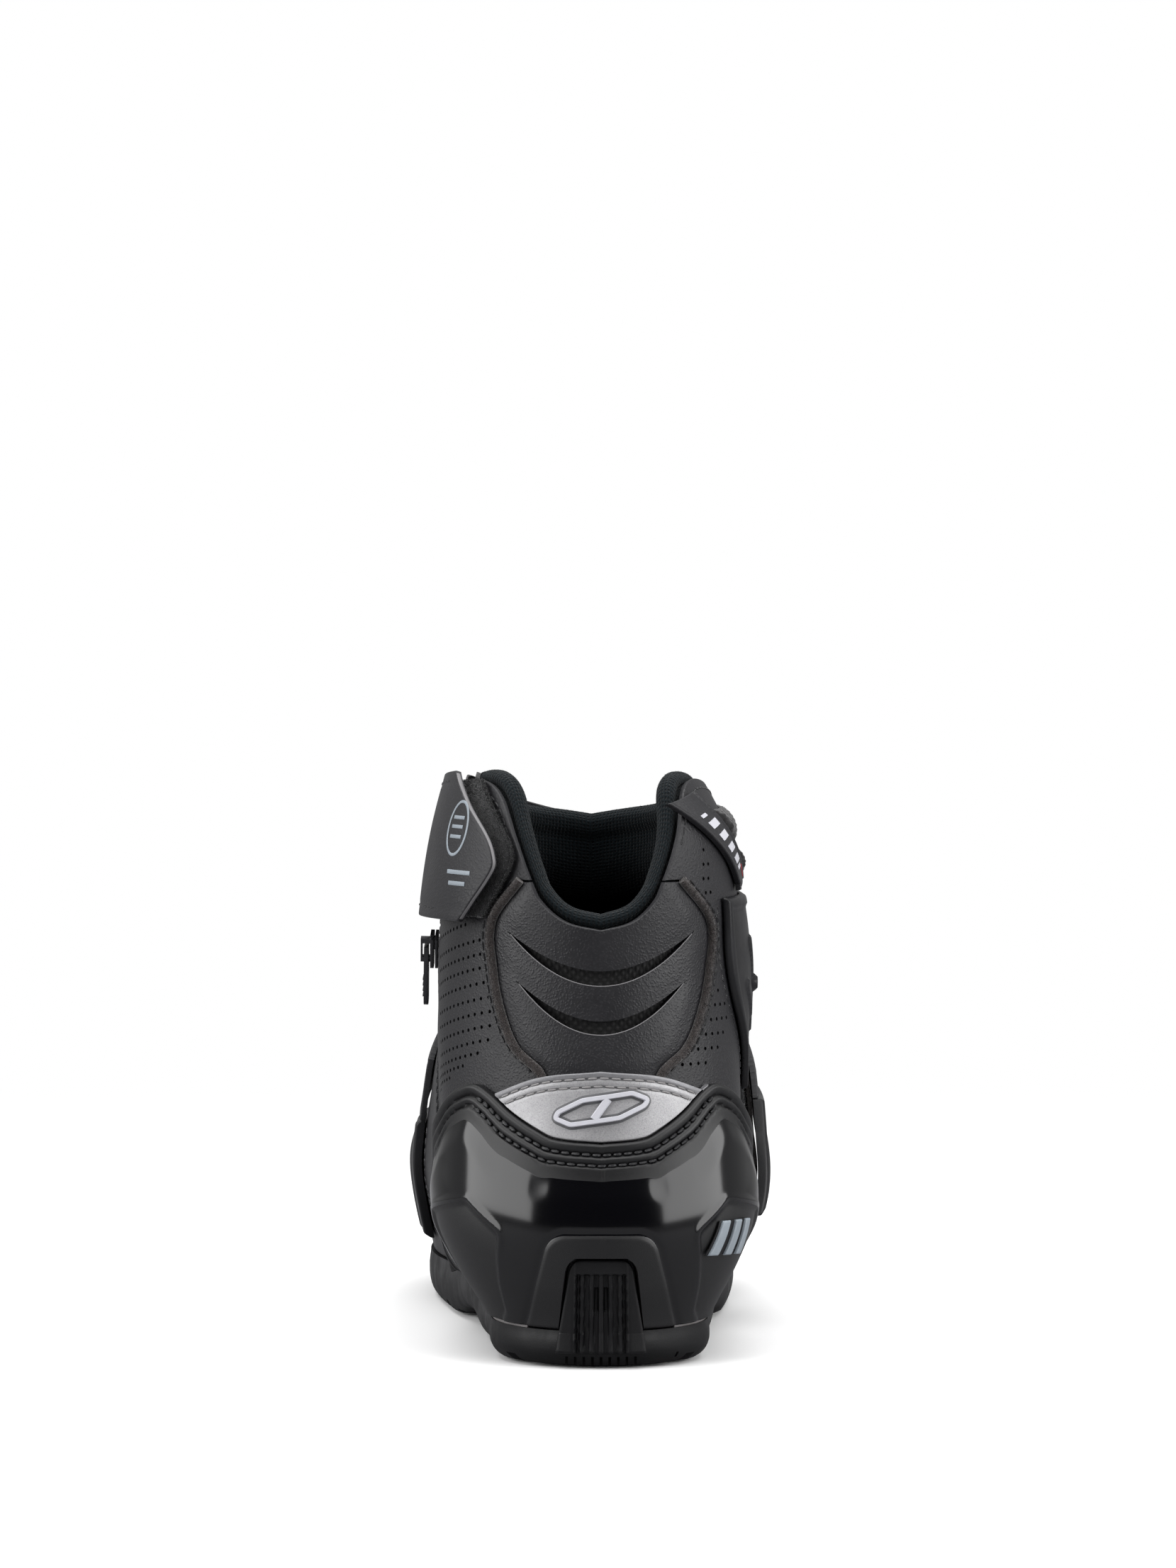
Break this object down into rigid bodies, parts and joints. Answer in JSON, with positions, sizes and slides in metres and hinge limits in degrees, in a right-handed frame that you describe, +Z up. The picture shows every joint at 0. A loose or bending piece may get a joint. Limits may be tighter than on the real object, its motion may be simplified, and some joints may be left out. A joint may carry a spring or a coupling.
{
  "type": "motorcycle riding boot",
  "caption": "Short lace-free motorcycle riding boot for the right foot, with cuff and instep straps, inner zip and moulded heel counter.",
  "frame": {"origin": "centre of the heel tread's contact patch on the ground", "axes": "+X to the outer side of the foot, +Y to the toe, +Z up"},
  "size_m": [0.1175, 0.2924, 0.1793],
  "materials": {
    "sole_rubber": "matt black moulded rubber",
    "board": "pressed fibre board",
    "steel": "plain steel",
    "foam": "fabric-topped foam",
    "upper_leather": "fine-grained charcoal microfibre leather",
    "air_mesh": "black open air mesh",
    "piping": "brown-grey brushed piping",
    "collar_mesh": "blue-black knitted mesh",
    "counter_gloss": "gloss black moulded plastic with matt facets",
    "silver_film": "satin silver film",
    "white_mark": "raised white print",
    "grey_mark": "grey raised mark",
    "guard_rubber": "satin black moulded rubber",
    "strap_leather": "smooth dark grey coated leather",
    "hook_pile": "black hook tape",
    "loop_pile": "black loop pile",
    "zip_tape": "woven black tape",
    "zip_coil": "black nylon coil",
    "black_metal": "black lacquered metal"
  },
  "bodies": {
    "boot": {"outsole": "sole_rubber", "insole_board": "board", "shank": "steel", "footbed": "foam", "vamp": "upper_leather", "shin_flex_panel": "air_mesh", "outer_quarter": "upper_leather", "inner_quarter": "upper_leather", "achilles_panel": "upper_leather", "achilles_mesh": "air_mesh", "achilles_piping_outer": "piping", "achilles_piping_inner": "piping", "heel_stiffener": "board", "toe_puff": "board", "collar_pad": "collar_mesh", "quarter_lining": "collar_mesh", "vamp_lining": "collar_mesh", "heel_counter": "counter_gloss", "heel_badge": "silver_film", "heel_emblem": "white_mark", "counter_mark": "grey_mark", "ankle_guard": "guard_rubber", "label_band": "guard_rubber", "side_rib_lower": "air_mesh", "side_rib_upper": "air_mesh", "shift_pad": "guard_rubber", "toe_guard": "counter_gloss", "cuff_strap_anchor": "strap_leather", "cuff_loop_pad": "loop_pile", "instep_loop_pad": "loop_pile", "instep_strap_anchor": "strap_leather", "zip_tape": "zip_tape", "zip_coil": "zip_coil", "zip_stop_lower": "steel", "zip_stop_upper": "steel"},
    "cuff_strap_arm": {"cuff_strap": "strap_leather", "cuff_hook_pad": "hook_pile"},
    "instep_strap_arm": {"instep_strap": "strap_leather", "instep_strap_tip": "guard_rubber", "instep_hook_pad": "hook_pile"},
    "slider": {"zip_slider": "black_metal"},
    "pull": {"zip_pull": "guard_rubber"}
  },
  "joints": [
    {"name": "cuff_strap_peel", "type": "hinge", "parent": "boot", "child": "cuff_strap_arm", "pos_m": [0.0253, 0.09286, 0.14006], "axis": [0.0276, 0.4373, -0.8989], "range_deg": [0, 70]},
    {"name": "instep_strap_peel", "type": "hinge", "parent": "boot", "child": "instep_strap_arm", "pos_m": [-0.05255, 0.11882, 0.08515], "axis": [0.1441, -0.7864, 0.6007], "range_deg": [0, 80]},
    {"name": "zip_slide", "type": "slide", "parent": "boot", "child": "slider", "axis": [-0.0143, 0.2944, -0.9556], "range_m": [0, 0.077]},
    {"name": "zip_pull_swing", "type": "hinge", "parent": "slider", "child": "pull", "pos_m": [-0.05433, 0.04162, 0.12235], "axis": [0.0365, 0.9552, 0.2937], "range_deg": [0, 120]}
  ]
}
